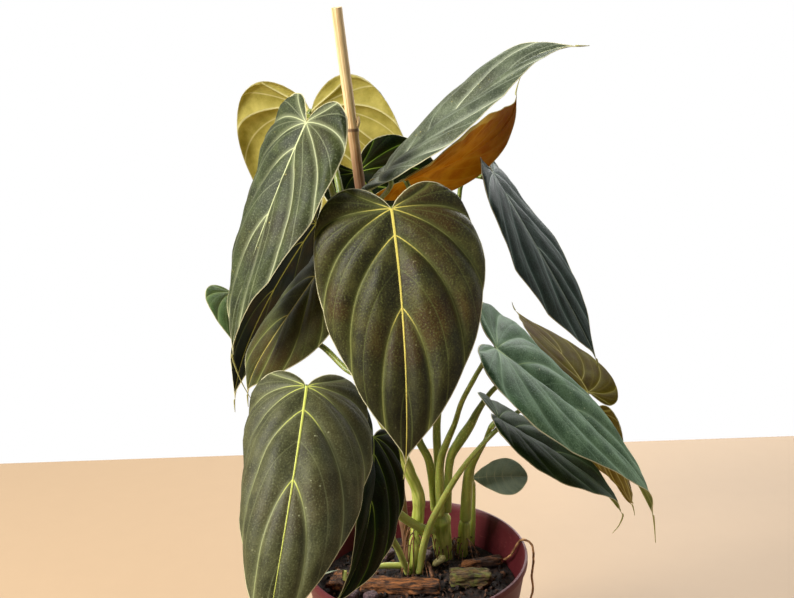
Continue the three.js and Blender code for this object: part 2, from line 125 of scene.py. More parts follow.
class Finish(Nodes):
    """One material. Its colour starts plain and is covered layer by layer."""

    def __init__(self, name, roughness, color, **sockets):
        self.material = bpy.data.materials.new(name)
        super().__init__(self.material)
        self.shader = self.node("BsdfPrincipled", Roughness=roughness, **sockets)
        self.output = self.node("OutputMaterial", Surface=self.shader.outputs["BSDF"])
        self.color = color
        self.normal = None

    def place(self, stretch=(1, 1, 1)):
        """Position in the object, in metres, stretched."""
        spot = self.node("TexCoord").outputs["Object"]
        return self.node("Mapping", Vector=spot, Scale=stretch).outputs[0]

    def along(self, stretch=(1, 1, 1)):
        """The piece's own map, stretched: metres along a bar and share of the way round it, or
        metres along and across a blade."""
        spot = self.node("UVMap", {"uv_map": "map"}).outputs[0]
        return self.node("Mapping", Vector=spot, Scale=stretch).outputs[0]

    def height(self):
        return self.node("SeparateXYZ", Vector=self.place()).outputs["Z"]

    def noise(self, scale, detail=3, roughness=0.55, at=None):
        made = self.node("TexNoise", Vector=at or self.place(), Scale=scale, Detail=detail,
                         Roughness=roughness)
        return made.outputs["Fac"]

    def cells(self, scale, at, feature="F1"):
        made = self.node("TexVoronoi", {"feature": feature}, Vector=at, Scale=scale)
        return made.outputs["Distance"]

    def attribute(self, name):
        made = self.node("Attribute", {"attribute_name": name})
        parts = self.node("SeparateColor", Color=made.outputs["Color"])
        return (*parts.outputs[:3], made.outputs["Alpha"])

    def mix(self, share, first, second):
        return self.node("Mix", {"data_type": "RGBA"}, {0: share, 6: first, 7: second}).outputs[2]

    def cover(self, color, share):
        """Covers a share of the colour so far."""
        self.color = self.mix(share, self.color, color)

    def stain(self, color, where, low, high, start=0, end=1):
        """Covers a share that goes from start to end where a value goes from low to high."""
        self.cover(color, self.spread(where, low, high, start, end))

    def bump(self, height, depth):
        """Raises the surface by up to depth, in millimetres, on top of the bumps so far."""
        made = self.node("Bump", Height=height, Distance=depth * MM, Strength=1)
        if self.normal:
            self.put(made, "Normal", self.normal)
        self.normal = made.outputs[0]

    def glow(self, color, share):
        """Lets light through: share of the surface is a thin translucent sheet."""
        sheet = self.node("BsdfTranslucent", Color=color)
        both = self.node("MixShader", (), {0: share, 1: self.shader.outputs["BSDF"], 2: sheet.outputs[0]})
        self.put(self.output, "Surface", both.outputs[0])

    def done(self):
        self.put(self.shader, "Base Color", self.color)
        if self.normal:
            self.put(self.shader, "Normal", self.normal)
        return self.material


# Light and floor

LIGHTS = {
    "key": {"place": (-0.85, -0.4, 0.85), "size": 0.5, "power": 25, "color": (1, 0.97, 0.93)},
    "back": {"place": (0.45, 0.95, 0.85), "size": 1, "power": 18},
    "fill": {"place": (0.9, -0.7, 0.6), "size": 1, "power": 2.5},
}
AIM = Vector((0, 0, 0.2))
WHITE = (1, 1, 1)
SKY = {"front": 0.1, "back": 0.8}
FLOOR = {"left": -900, "right": 900, "front": -900, "back": 358, "color": (0.42, 0.29, 0.17), "grain": 0.96}


def make_light(name, place, size, power, color=WHITE):
    data = bpy.data.lights.new(name, "AREA")
    data.shape = "DISK"
    data.size = size
    data.energy = power
    data.color = color
    light = add_object(name, data)
    light.location = place
    light.rotation_euler = (AIM - light.location).to_track_quat("-Z", "Y").to_euler()


def make_world():
    """White behind the plant, and for its light a room that is brightest behind it."""
    world = bpy.data.worlds.new("studio")
    nodes = Nodes(world)
    way = nodes.node("SeparateXYZ", Vector=nodes.node("TexCoord").outputs["Generated"])
    light = nodes.spread(way.outputs["Y"], -0.6, 0.9, SKY["front"], SKY["back"])
    room = nodes.node("Background", Color=WHITE, Strength=light)
    seen = nodes.node("Background", Color=WHITE, Strength=1)
    is_seen = nodes.node("LightPath").outputs["Is Camera Ray"]
    both = nodes.node("MixShader", (), {0: is_seen, 1: room.outputs[0], 2: seen.outputs[0]})
    nodes.node("OutputWorld", Surface=both.outputs[0])
    bpy.context.scene.world = world
    bpy.context.scene.view_settings.view_transform = "Standard"


def make_floor():
    sides = ("left", "front"), ("right", "front"), ("right", "back"), ("left", "back")
    mesh = bpy.data.meshes.new("floor")
    mesh.from_pydata([(FLOOR[x] * MM, FLOOR[y] * MM, 0) for x, y in sides], [], [(0, 1, 2, 3)])
    finish = Finish("floor", 0.6, FLOOR["color"])
    finish.cover(tuple(FLOOR["grain"] * part for part in FLOOR["color"]), finish.noise(60))
    mesh.materials.append(finish.done())
    add_object("floor", mesh)


# Mesh helpers. A shape is its vertices in millimetres, its faces, and a place in the map for each
# corner of each face, or no map.

CURVE_STEPS = 24


def between(first, second, start, end, t):
    return ((end - t) * first + (t - start) * second) / (end - start)


def smooth_curve(points, spacing):
    """Evenly spaced points on a centripetal Catmull-Rom curve through the given ones."""
    points = [np.array(point, float) for point in points]
    ends = [2 * points[0] - points[1], *points, 2 * points[-1] - points[-2]]
    dense = []
    for span in zip(ends, ends[1:], ends[2:], ends[3:]):
        gaps = [max(np.linalg.norm(after - before), 1e-6) ** 0.5 for before, after in zip(span, span[1:])]
        knots = np.cumsum([0, *gaps])
        for t in np.linspace(knots[1], knots[2], CURVE_STEPS, endpoint=False):
            a = [between(span[i], span[i + 1], knots[i], knots[i + 1], t) for i in range(3)]
            b = [between(a[i], a[i + 1], knots[i], knots[i + 2], t) for i in range(2)]
            dense.append(between(*b, knots[1], knots[2], t))
    dense = np.array([*dense, points[-1]])
    along = np.concatenate([[0], np.cumsum(np.linalg.norm(np.diff(dense, axis=0), axis=1))])
    wanted = np.linspace(0, along[-1], max(int(along[-1] / spacing), 4) + 1)
    return np.stack([np.interp(wanted, along, dense[:, k]) for k in range(3)], axis=1)


def frames_along(path):
    """Two directions square to the path at each of its points, which don't twist round it."""
    ahead = np.gradient(path, axis=0)
    ahead /= np.linalg.norm(ahead, axis=1)[:, None]
    side = np.cross(ahead[0], (0.0, 1.0, 0.0))
    if np.linalg.norm(side) < 0.2:
        side = np.cross(ahead[0], (1.0, 0.0, 0.0))
    sides = []
    for direction in ahead:
        side = side - direction * side.dot(direction)
        side /= np.linalg.norm(side)
        sides.append(side)
    sides = np.array(sides)
    return sides, np.cross(ahead, sides)


def tube_shape(points, radii, sides=14, spacing=1.2, rough=0.0, grain=1.0, round_ends=True):
    """A closed bar along a curve."""
    path = smooth_curve(points, spacing)
    share = np.linspace(0, 1, len(path))
    radius = np.interp(share, np.linspace(0, 1, len(radii)), radii)
    length = np.linalg.norm(np.diff(path, axis=0), axis=1).sum()
    if round_ends:
        from_end = np.minimum(share, 1 - share) * length
        radius = radius * np.sqrt(np.clip(from_end / radius + 0.12, 0, 1))
    vertices = []
    for centre, r, a, b in zip(path, radius, *frames_along(path)):
        for turn in np.linspace(0, 2 * math.pi, sides, endpoint=False):
            out = math.cos(turn) * a + math.sin(turn) * b
            spot = centre + r * out
            if rough:
                spot = spot + rough * noise.noise(Vector(spot / grain)) * out
            vertices.append(spot)
    faces = []
    mapped = []
    for i in range(len(path) - 1):
        low, high = share[i:i + 2] * length * MM
        for k in range(sides):
            after = (k + 1) % sides
            faces.append((i * sides + k, i * sides + after, (i + 1) * sides + after, (i + 1) * sides + k))
            mapped += [(low, k / sides), (low, (k + 1) / sides), (high, (k + 1) / sides), (high, k / sides)]
    last = (len(path) - 1) * sides
    faces.append(tuple(reversed(range(sides))))
    faces.append(tuple(range(last, last + sides)))
    mapped += [(0, 0)] * sides + [(length * MM, 0)] * sides
    return np.array(vertices), faces, mapped


def turned_shape(profile, segments):
    """A closed body turned from (radius, height) pairs which start and end on the axis."""
    turns = np.linspace(0, 2 * math.pi, segments, endpoint=False)
    rings = profile[1:-1]
    vertices = [(0, 0, profile[0][1]), (0, 0, profile[-1][1])]
    vertices += [(r * math.cos(turn), r * math.sin(turn), z) for r, z in rings for turn in turns]
    faces = []
    last = 2 + (len(rings) - 1) * segments
    for k in range(segments):
        after = (k + 1) % segments
        faces.append((0, 2 + after, 2 + k))
        faces.append((1, last + k, last + after))
        for low in range(2, last, segments):
            high = low + segments
            faces.append((low + k, low + after, high + after, high + k))
    return np.array(vertices, float), faces, []


def ball_shape(detail):
    work = bmesh.new()
    bmesh.ops.create_icosphere(work, subdivisions=detail, radius=1)
    vertices = np.array([vertex.co[:] for vertex in work.verts])
    faces = [tuple(vertex.index for vertex in face.verts) for face in work.faces]
    work.free()
    return vertices, faces, []


def join_shapes(shapes):
    vertices, faces, mapped = [], [], []
    start = 0
    for points, rings, spots in shapes:
        vertices.append(points)
        faces += [tuple(corner + start for corner in face) for face in rings]
        mapped += spots
        start += len(points)
    return np.concatenate(vertices), faces, mapped


def attach(name, mesh, node):
    """Makes a piece of a mesh. It rides on the one body, and stands for a node of the model or none."""
    piece = add_object(name, mesh)
    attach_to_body(piece, "root")
    if node:
        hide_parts(node)
    return piece


def make_piece(name, shape, finish, node=None, smooth=True):
    vertices, faces, mapped = shape
    mesh = bpy.data.meshes.new(name)
    mesh.from_pydata((np.asarray(vertices) * MM).tolist(), [], faces)
    if mapped:
        layer = mesh.uv_layers.new(name="map")
        layer.data.foreach_set("uv", np.array(mapped, float).ravel())
    mesh.materials.append(finish)
    if smooth:
        mesh.shade_smooth()
    mesh.update()
    return attach(name, mesh, node)


# Leaf blades

class Leaf:
    """A blade's place is where its petiole meets the midrib. Heading, rise and roll turn it there, in
    degrees. Droop and tip bend the midrib down, fold lifts both halves from it, arch curves each half
    down again, twist turns the blade's end and sweep bends it aside. Quilt is how far the blade bulges
    between its veins, as a share of their spacing, and thread is the drip tip's way past the blade."""

    def __init__(self, at, turn, size, bends, top, under="dull_green", quilt=0.0, thread=None):
        self.at = Vector(at)
        heading, rise, roll = map(math.radians, turn)
        self.turned = Euler((roll, -rise, heading)).to_matrix()
        self.length, self.width = size
        self.size = self.length / USUAL_LENGTH
        self.droop, self.tip, self.fold, self.arch, self.twist, self.sweep = bends
        self.top, self.under, self.quilt, self.thread = top, under, quilt, thread


USUAL_LENGTH = 110
LEAVES = {
    "upper_left": Leaf(
        at=(-42, -45, 343), turn=(-150, -59, -4), size=(112, 68), bends=(17, 17, 7, 31, 11, -0.09),
        top="grey_olive", quilt=0.2, thread=(7, 1, -17)),
    "back_left": Leaf(
        at=(-49, 92, 331), turn=(57, -68, -9), size=(173, 112), bends=(8, 10, 17, 38, 9, 0),
        top="backlit", under="glowing_olive", quilt=0.16, thread=(0, 0, -6)),
    "front_centre": Leaf(
        at=(-6, -75, 310), turn=(-80, -56, 6), size=(111, 76), bends=(31, 16, 0, 39, 21, -0.06),
        top="bronze", quilt=0.24, thread=(-1, 1, -5)),
    "top_right": Leaf(
        at=(-9, -28, 316), turn=(-5, 39, -1), size=(105, 67), bends=(-2, 48, 10, 27, 29, -0.01),
        top="pale_grey", quilt=0.18, thread=(4, 1, 0)),
    "cupped_right": Leaf(
        at=(1, 4, 307), turn=(33, 7, -29), size=(93, 60), bends=(-22, -42, -9, -13, -51, 0.02),
        top="backlit", under="orange", quilt=0.07, thread=(3, 2, 7)),
    "hanging_right": Leaf(
        at=(48, 46, 301), turn=(-5, -60, 3), size=(122, 81), bends=(3, 6, -1, 8, 28, 0.05),
        top="blue_grey", quilt=0.12, thread=(0, 0, -4)),
    "low_right": Leaf(
        at=(39, -60, 241), turn=(6, -41, 15), size=(123, 81), bends=(9, 31, 15, 35, -7, -0.02),
        top="blue_green", quilt=0.13, thread=(1, 0, -11)),
    "lowest_right": Leaf(
        at=(41, -44, 200), turn=(12, -36, 6), size=(92, 56), bends=(6, 27, 20, 51, 10, 0.02),
        top="dark_green", quilt=0.1, thread=(-6, 0, -8)),
    "back_right": Leaf(
        at=(97, 30, 182), turn=(110, 31, 23), size=(80, 49), bends=(31, -19, 0, -14, 8, 0.01),
        top="olive", under="amber", quilt=0.1, thread=(-1, 0, 4)),
    "back_right_low": Leaf(
        at=(94, 0, 183), turn=(60, -64, 18), size=(98, 58), bends=(-21, 3, 6, 51, 20, 0),
        top="olive", under="amber", quilt=0.08, thread=(1, 0, -6)),
    "low_left": Leaf(
        at=(-45, -85, 236), turn=(-95, -30, -5), size=(114, 75), bends=(48, 28, -7, 66, 19, -0.08),
        top="grey_bronze", quilt=0.17, thread=(1, 2, -7)),
    "low_centre": Leaf(
        at=(-18, -55, 198), turn=(-88, -35, -68), size=(86, 58), bends=(20, 30, 11, 9, -6, -0.06),
        top="painted_shade_green", quilt=0.16, thread=(-2, 0, -3)),
    "mid_left": Leaf(
        at=(-37, -44, 280), turn=(169, -54, -27), size=(86, 57), bends=(3, 30, 10, 61, -16, -0.08),
        top="olive_bronze", quilt=0.16, thread=(0, 0, -5)),
    "inner_left": Leaf(
        at=(-46, 37, 279), turn=(-170, -51, -15), size=(110, 60), bends=(18, 18, 7, 33, -13, 0.02),
        top="painted_shade_bronze", quilt=0.16, thread=(0, 0, -5)),
    "far_left": Leaf(
        at=(-100, 84, 229), turn=(-55, -33, -10), size=(63, 41), bends=(32, 19, 8, 17, -13, -0.02),
        top="leaf_green", quilt=0.12, thread=(1, 0, -5)),
    "behind_cane": Leaf(
        at=(-24, 60, 301), turn=(-39, -45, 21), size=(94, 74), bends=(12, 10, 23, -2, -4, 0),
        top="painted_shade_green", quilt=0.22, thread=(0, 0, -5)),
}
YOUNG_LEAVES = {
    "young_right": Leaf(
        at=(33, 24, 136), turn=(0, 2, 42), size=(31, 22), bends=(10, 10, 8, 20, 0, 0),
        top="slate", under="slate", quilt=0.02),
    "young_left": Leaf(
        at=(-38, -5, 99), turn=(200, 10, 30), size=(16, 9), bends=(20, 10, 10, 20, 0, 0),
        top="slate", under="slate", quilt=0.02),
}

# Half of a blade's outline, as shares of its length and of half its width.
HEART = np.array([(0, 0), (-0.045, 0.09), (-0.095, 0.29), (-0.105, 0.52), (-0.055, 0.78), (0.06, 0.95),
                  (0.22, 1), (0.42, 0.9), (0.62, 0.655), (0.79, 0.36), (0.895, 0.13), (0.945, 0.035), (1, 0)])
OVAL = np.array([(0, 0), (0.03, 0.12), (0.08, 0.26), (0.15, 0.42), (0.24, 0.6), (0.35, 0.78),
                 (0.48, 0.94), (0.62, 1), (0.75, 0.92), (0.86, 0.7), (0.94, 0.42), (0.985, 0.18), (1, 0)])
# Where the main side veins end, as shares of the way round half the outline. A minor vein lies
# halfway between each two. The veins of a heart's lobes, up to the last basal one, start at the notch.
MAIN_VEINS = (0.24, 0.42, 0.555, 0.67, 0.79)
LAST_BASAL = 0.6
# The mesh has its rows at these shares of each gap between main veins, and its columns at these
# shares of each vein.
BETWEEN_VEINS = (0, 0.05, 0.13, 0.24, 0.37, 0.47, 0.5, 0.53, 0.63, 0.76, 0.87, 0.95)
BLADE_COLUMNS = (0, 0.008, 0.018, 0.032, 0.05, *np.linspace(0.08, 0.94, 22), 0.965, 0.985, 1)
# The blade's relief, in millimetres on a blade of the usual length. The midrib's half widths go with
# shares of the length, and its rib and groove are some of these wide. The ribs under the blade end
# between two shares of its length. A ripple has a depth and a width. The quilt starts some way from
# the midrib, loses a share of itself past a share of the way to the margin, and has a crease along
# each minor vein, in shares of the quilt and of the gap between main veins.
BLADE_THICKNESS = 0.5
MARGIN_THICKNESS = 0.16
MARGIN_WIDTH = 3
MIDRIB_WIDTHS = ((-0.1, 0, 0.2, 1), (0.6, 0.6, 0.42, 0.14))
RIBS = {"midrib": 0.9, "midrib_widths": 1.3, "vein": 0.35, "vein_width": 0.7, "vein_end": 6,
        "end": (0.93, 0.98)}
GROOVE = {"depth": 0.5, "midrib_widths": 3, "rib": 0.35}
RIPPLES = {"wide": (0.9, 24), "narrow": (0.25, 8), "frill": (1.3, 17), "start": 8}
QUILT = {"start": 9, "edge": 0.75, "edge_loss": 0.6, "crease": 0.16, "crease_width": 0.09}
# The distance to a vein where there is none, and a small step along the blade.
NO_VEIN = 99
TINY = 0.002


def outline_point(outline, t):
    """A point of the half outline, on a uniform Catmull-Rom curve through its points."""
    spans = len(outline) - 1
    place = np.clip(t, 0, 1) * spans
    span = np.minimum(place.astype(int), spans - 1)
    w = (place - span)[..., None]
    before, after = outline[np.maximum(span - 1, 0)], outline[np.minimum(span + 2, spans)]
    start, end = outline[span], outline[span + 1]
    rise, fall = (end - before) / 2, (after - start) / 2
    cubic = 2 * start - 2 * end + rise + fall
    square = 3 * end - 3 * start - 2 * rise - fall
    return cubic * w ** 3 + square * w ** 2 + rise * w + start


def flat_point(outline, t, b):
    """Share of the length and of half the width: t runs round the outline, b along a vein."""
    edge_x, edge_y = np.moveaxis(outline_point(outline, t), -1, 0)
    if outline is OVAL:
        start = np.clip(t, 0, 1) ** 1.6
        bow_x = start + 0.25 * (edge_x - start)
        bow_y = 0.8 * edge_y
    else:
        start = (np.clip(t - LAST_BASAL, 0, 1) / (1 - LAST_BASAL)) ** 1.3
        lobe_pull = 0.3 * np.clip(edge_y, 0, None) ** 1.5 * np.clip(LAST_BASAL - t, 0, 1)
        bow_x = start + 0.35 * (edge_x - start) - lobe_pull
        bow_y = (0.85 + 2.2 * start * (1 - start) ** 0.5) * edge_y
    x = (1 - b) ** 2 * start + 2 * b * (1 - b) * bow_x + b ** 2 * edge_x
    y = 2 * b * (1 - b) * bow_y + b ** 2 * edge_y
    return x, y


def shaped(leaf, x, y, side):
    """Bends the flat blade's points: x along the midrib, y to its left and z out of the upper face."""
    stops = np.linspace(-0.25, 1.1, 160)
    middles = (stops[1:] + stops[:-1]) / 2

    def slope_at(u):
        return -np.radians(leaf.droop * u + leaf.tip * np.clip(u, 0, None) ** 5)

    def summed(rates):
        total = np.concatenate([[0], np.cumsum(rates * np.diff(stops) * leaf.length)])
        return total - np.interp(0, stops, total)

    fold = math.radians(leaf.fold)
    bend_rate = 2 * math.radians(leaf.arch or 1) / leaf.width
    bent = fold - bend_rate * y * leaf.width / 2
    across = -side * (math.sin(fold) - np.sin(bent)) / bend_rate
    lift = (np.cos(bent) - math.cos(fold)) / bend_rate
    twist = math.radians(leaf.twist) * x
    left = across * np.cos(twist) - lift * np.sin(twist) + leaf.sweep * leaf.length * x * x
    out = across * np.sin(twist) + lift * np.cos(twist)
    slope = slope_at(x)
    ahead = np.interp(x, stops, summed(np.cos(slope_at(middles)))) - out * np.sin(slope)
    above = np.interp(x, stops, summed(np.sin(slope_at(middles)))) + out * np.cos(slope)
    return np.stack([ahead, left, above], axis=-1)


def upward(leaf, x, y, side):
    """The upper face's direction at each point of the blade."""
    here = shaped(leaf, x, y, side)
    ahead = shaped(leaf, x + TINY, y, side) - here
    left = (shaped(leaf, x, y + TINY, side) - here) * -side
    out = np.cross(ahead, left)
    return out / np.linalg.norm(out, axis=-1)[..., None]


def rows_round_outline():
    """Each row's share of the way round the outline, the vein gap it is in and how far across it."""
    stops = (0, *MAIN_VEINS, 1)
    rows = [(low + s * (high - low), k, s)
            for k, (low, high) in enumerate(zip(stops, stops[1:])) for s in BETWEEN_VEINS]
    rows.append((1, len(stops) - 2, 1))
    t, gap, share = zip(*rows)
    return np.array(t, float), np.array(gap), np.array(share, float), np.array(stops, float)


def distance_from(points, curve, ahead):
    """Distance from each point to the line through the curve's point beside it."""
    offset = points - curve
    length = np.linalg.norm(ahead, axis=-1) + 1e-9
    return np.abs(offset[..., 0] * ahead[..., 1] - offset[..., 1] * ahead[..., 0]) / length


def soft_step(low, high, value):
    share = np.clip((value - low) / (high - low), 0, 1)
    return share * share * (3 - 2 * share)


def hump(distance, width):
    return np.exp(-(distance / width) ** 2)


def waves(flat, ripple, size, seed):
    """Smooth noise over the flat blade, with a ripple's depth and width."""
    depth, width = ripple
    spots = flat.reshape(-1, 2) / (width * size)
    return depth * np.array([noise.noise(Vector((*spot, seed))) for spot in spots]).reshape(flat.shape[:2])


def half_blade(leaf, outline, side, seed):
    """Top and underside points of half a blade, with what its shader needs at each point."""
    t, gap, share, stops = rows_round_outline()
    scale = np.array((leaf.length, leaf.width / 2))
    size = leaf.size
    grid_t, grid_b = np.meshgrid(t, BLADE_COLUMNS, indexing="ij")

    def flat(at, along):
        return np.stack(flat_point(outline, at, along), axis=-1) * scale

    spot = flat(grid_t, grid_b)

    def from_vein(stop):
        way = flat(stop, grid_b + 0.01) - flat(stop, grid_b - 0.01)
        return distance_from(spot, flat(stop, grid_b), way)

    rim = np.ones_like(grid_b)
    edge = flat(grid_t, rim)
    edge_way = flat(np.minimum(grid_t + TINY, 1), rim) - flat(np.maximum(grid_t - TINY, 0), rim)
    margin = np.minimum(distance_from(spot, edge, edge_way), np.linalg.norm(spot - edge, axis=-1))
    low, high = stops[gap][:, None], stops[gap + 1][:, None]
    before = np.where(low > 0, from_vein(low), margin)
    after = np.where(high < 1, from_vein(high), margin)
    main = np.minimum(np.where(low > 0, before, NO_VEIN), np.where(high < 1, after, NO_VEIN))
    inner = gap[:, None] > 0
    minor = np.where(inner, from_vein((low + high) / 2), NO_VEIN)
    midrib = np.where(spot[..., 0] > 0, np.abs(spot[..., 1]), np.linalg.norm(spot, axis=-1))
    u = spot[..., 0] / leaf.length
    midrib_width = np.interp(u, *MIDRIB_WIDTHS) * size

    crease = QUILT["crease"] * hump(share[:, None] - 0.5, QUILT["crease_width"]) * inner
    quilt = leaf.quilt * 4 * before * after / (before + after + 1e-6) * (1 - crease)
    quilt *= soft_step(0, QUILT["start"] * size, midrib)
    quilt *= 1 - QUILT["edge_loss"] * soft_step(QUILT["edge"], 1, grid_b)
    signed = spot * (1, side)
    ripple = (waves(signed, RIPPLES["wide"], size, seed) + waves(signed, RIPPLES["narrow"], size, seed + 5)
              + grid_b ** 4 * waves(signed, RIPPLES["frill"], size, seed + 9))
    groove = (GROOVE["rib"] * hump(midrib, midrib_width)
              - GROOVE["depth"] * hump(midrib, GROOVE["midrib_widths"] * midrib_width))
    height = quilt + size * (ripple * soft_step(0, RIPPLES["start"], midrib) + groove)

    y = spot[..., 1] / scale[1]
    out = upward(leaf, u, y, side)
    thickness = size * np.interp(margin, (0, MARGIN_WIDTH), (MARGIN_THICKNESS, BLADE_THICKNESS))
    ribs = (RIBS["midrib"] * hump(midrib, RIBS["midrib_widths"] * midrib_width)
            + RIBS["vein"] * hump(main, RIBS["vein_width"]) * soft_step(0, RIBS["vein_end"], margin)) * size
    ribs *= 1 - soft_step(*RIBS["end"], u)
    top = shaped(leaf, u, y, side) + out * height[..., None]
    underside = top - out * (thickness + ribs)[..., None]
    veins = np.stack([main, minor, midrib / midrib_width, margin], axis=-1)
    place = np.stack([u, grid_b, np.full_like(u, side > 0), np.ones_like(u)], axis=-1)
    return top, underside, veins, place, signed


def blade_mesh(name, leaf, outline, seed):
    """The whole blade as one closed sheet: both halves, both faces and the rolled edge."""
    points, faces, kinds, veins, places, flats = [], [], [], [], [], []
    for side in (1, -1):
        top, underside, vein, place, flat = half_blade(leaf, outline, side, seed)
        rows, columns = top.shape[:2]
        count = rows * columns
        first = len(points) * count
        points += [top.reshape(-1, 3), underside.reshape(-1, 3)]
        veins += [vein.reshape(-1, 4)] * 2
        places += [place.reshape(-1, 4)] * 2
        flats += [flat.reshape(-1, 2)] * 2
        a = (np.arange(rows - 1)[:, None] * columns + np.arange(columns - 1)).ravel() + first
        upper = np.stack([a, a + 1, a + columns + 1, a + columns], axis=1)
        lower = upper[:, ::-1] + count
        edge = np.arange(rows - 1) * columns + columns - 1 + first
        rim = np.stack([edge, edge + count, edge + columns + count, edge + columns], axis=1)
        faces += [part[:, ::side] for part in (upper, lower, rim)]
        kinds += [0] * len(upper) + [1] * len(lower) + [0] * len(rim)
    faces = np.concatenate(faces)
    mesh = bpy.data.meshes.new(name)
    mesh.from_pydata((np.concatenate(points) * MM).tolist(), [], faces.tolist())
    mesh.polygons.foreach_set("material_index", kinds)
    layer = mesh.uv_layers.new(name="map")
    layer.data.foreach_set("uv", (np.concatenate(flats)[faces.ravel()] * MM).ravel())
    for title, values in (("veins", veins), ("place", places)):
        colors = mesh.color_attributes.new(title, "FLOAT_COLOR", "POINT")
        colors.data.foreach_set("color", np.concatenate(values).astype(np.float32).ravel())
    work = bmesh.new()
    work.from_mesh(mesh)
    bmesh.ops.remove_doubles(work, verts=work.verts, dist=0.03 * MM)
    work.to_mesh(mesh)
    work.free()
    mesh.shade_smooth()
    return mesh


def make_leaf(name, leaf, outline, seed):
    mesh = blade_mesh(f"leaf_{name}", leaf, outline, seed)
    mesh.transform(Matrix.Translation(leaf.at * MM) @ leaf.turned.to_4x4())
    mesh.materials.append(TOP_FINISHES[leaf.top])
    mesh.materials.append(UNDER_FINISHES[leaf.under])
    attach(f"blade_{name}", mesh, f"leaf_{name}")
    if leaf.thread:
        make_thread(name, leaf)


def make_thread(name, leaf):
    """The drip tip's fine thread past the blade."""
    spots = shaped(leaf, np.array((0.985, 1.0)), np.zeros(2), 1)
    start, tip = (np.array(leaf.turned @ Vector(spot) + leaf.at) for spot in spots)
    way = np.array(leaf.thread, float)
    bend = 0.25 * np.linalg.norm(way) * (tip - start) / np.linalg.norm(tip - start)
    points = [start, tip, tip + bend + 0.45 * way, tip + bend + way]
    shape = tube_shape(points, [0.45, 0.4, 0.26, 0.16], sides=8, spacing=0.6)
    make_piece(f"drip_tip_{name}", shape, DRIP_FINISH)


# Materials of the leaves

# An upper face has its colours first: its dark and light ground, the halos beside its veins, its side
# veins, its midrib and its dust. Then come how much light glows through it, its sheen, how warm its
# bronze clouds are, how much of the halo's colour its nap shows, and for one how far painted shade
# darkens its end.
TOPS = {
    "bronze": ((0x131307, 0x56542c, 0x626838, 0x787a42, 0xdece64, 0x7e7654), 0.1, 0.2, 0.5, 0.85, 0.65),
    # Painted shade: a near-black copy of the bronze with almost no sheen, for a leaf deep in the plant's
    # shade.
    "painted_shade_bronze": ((0x0a0b06, 0x181a0e, 0x101108, 0x32341a, 0x5a5424, 0x2c2a1a), 0.02, 0.02, 0.1, 0.3),
    "grey_bronze": ((0x282a14, 0x5e5e3c, 0x747850, 0x8e9262, 0xced464, 0xaaac80), 0.1, 0.22, 0.2, 0.6),
    "olive_bronze": ((0x222610, 0x4c4e2a, 0x545c30, 0x7a7e46, 0xbeb05a, 0x6e6e46), 0.1, 0.16, 0.4, 0.8),
    "grey_olive": ((0x121c08, 0x4c562e, 0x8c926e, 0xa8ae84, 0xbec492, 0xb0a460), 0.1, 0.2, 0.15, 0.4),
    "pale_grey": ((0x1e2816, 0x6c765a, 0x9ca48c, 0xbec4a6, 0xced2aa, 0xb8ae6c), 0.1, 0.25, 0.1, 0.35),
    "blue_grey": ((0x121c17, 0x32423a, 0x4e6058, 0x76867c, 0x8a9684, 0x586258), 0.06, 0.1, 0, 0.4),
    "blue_green": ((0x28422a, 0x708e68, 0x7c9874, 0x829a7c, 0x9cb47e, 0xbec496), 0.1, 0.14, 0, 0.7),
    "dark_green": ((0x1a2a16, 0x3c5032, 0x425838, 0x566a48, 0x7a8e54, 0x68704e), 0.06, 0.1, 0.1, 0.7),
    # Painted shade: a near-black copy of the green with little sheen, for leaves in the plant's shade.
    "painted_shade_green": ((0x080e04, 0x141e0b, 0x243212, 0x546826, 0x8c9e42, 0x404c24), 0.03, 0.03, 0.1, 0.6),
    "leaf_green": ((0x344a26, 0x607646, 0x708454, 0x8ea268, 0xa4b668, 0x929c68), 0.15, 0.2, 0, 0.5),
    "olive": ((0x42300c, 0x706c18, 0x767026, 0x9e964a, 0xc4b864, 0x786c38), 0.4, 0.03, 0.7, 0.5),
    "backlit": ((0x2a2810, 0x58562c, 0x606232, 0x8c8e4e, 0xcec060, 0x7a764a), 0.4, 0.1, 0.3, 0.6),
    "slate": ((0x606e60, 0x8a9682, 0x828e7a, 0x7e8872, 0xa0a286, 0x808872), 0.1, 0.15, 0, 0.3),
}
# An underside has its dark and light ground and its veins, its glow, and a 1 if it is curled.
UNDERS = {
    "dull_green": ((0x545c2c, 0x7c8246, 0xa0a460), 0.15),
    "slate": ((0x667464, 0x909a86, 0x969c86), 0.15),
    "glowing_olive": ((0x9c9242, 0xd4c870, 0xf0eab0), 0.5),
    "orange": ((0xd0741a, 0xfab242, 0xecaa4a), 0.75, 1),
    "amber": ((0x685422, 0x8c7c34, 0xc4b86c), 0.4),
}
MARGIN = 0xcec89e
THROUGH = 0xc4b23e
BRONZE = 0x4e3616
TIP_BROWN_AND_SHADE = 0x602c12
ROLLED_GOLD = 0xffe296


